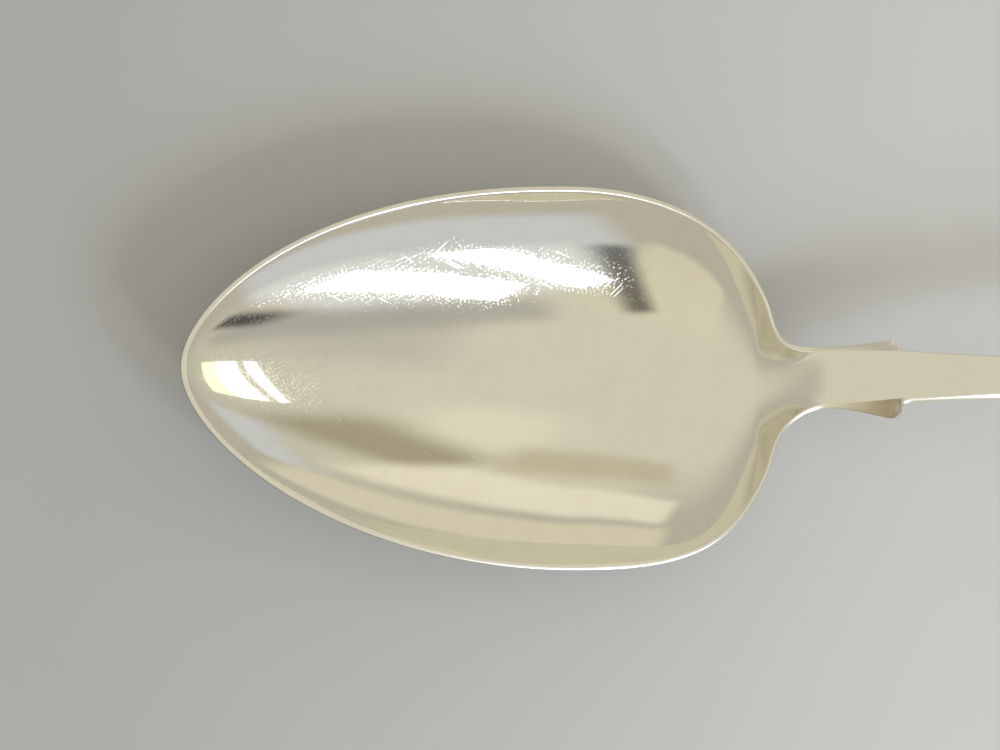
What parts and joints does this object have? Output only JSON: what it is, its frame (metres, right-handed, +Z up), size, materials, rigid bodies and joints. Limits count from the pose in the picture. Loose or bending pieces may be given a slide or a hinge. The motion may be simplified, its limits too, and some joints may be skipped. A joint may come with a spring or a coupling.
{
  "type": "tablespoon",
  "caption": "Silver tablespoon with an egg-shaped bowl, shouldered narrow stem and turned-down fiddle-shaped handle end.",
  "frame": {"origin": "on the table, at the place worn flat under the deepest part of the bowl, on the stem's middle line", "axes": "+X from the bowl towards the end of the handle, +Z up out of the bowl, +Y to the left of someone who looks along +X"},
  "size_m": [0.22, 0.0462, 0.0211],
  "materials": {
    "bowl_silver": "old polished silver, finely scratched by use, with a warm tone",
    "stem_silver": "old polished silver, worn smooth along its edges",
    "back_silver": "old silver, duller where the polish does not reach"
  },
  "bodies": {
    "root": {"bowl": "bowl_silver", "stem": "stem_silver", "drop": "back_silver"}
  },
  "joints": []
}
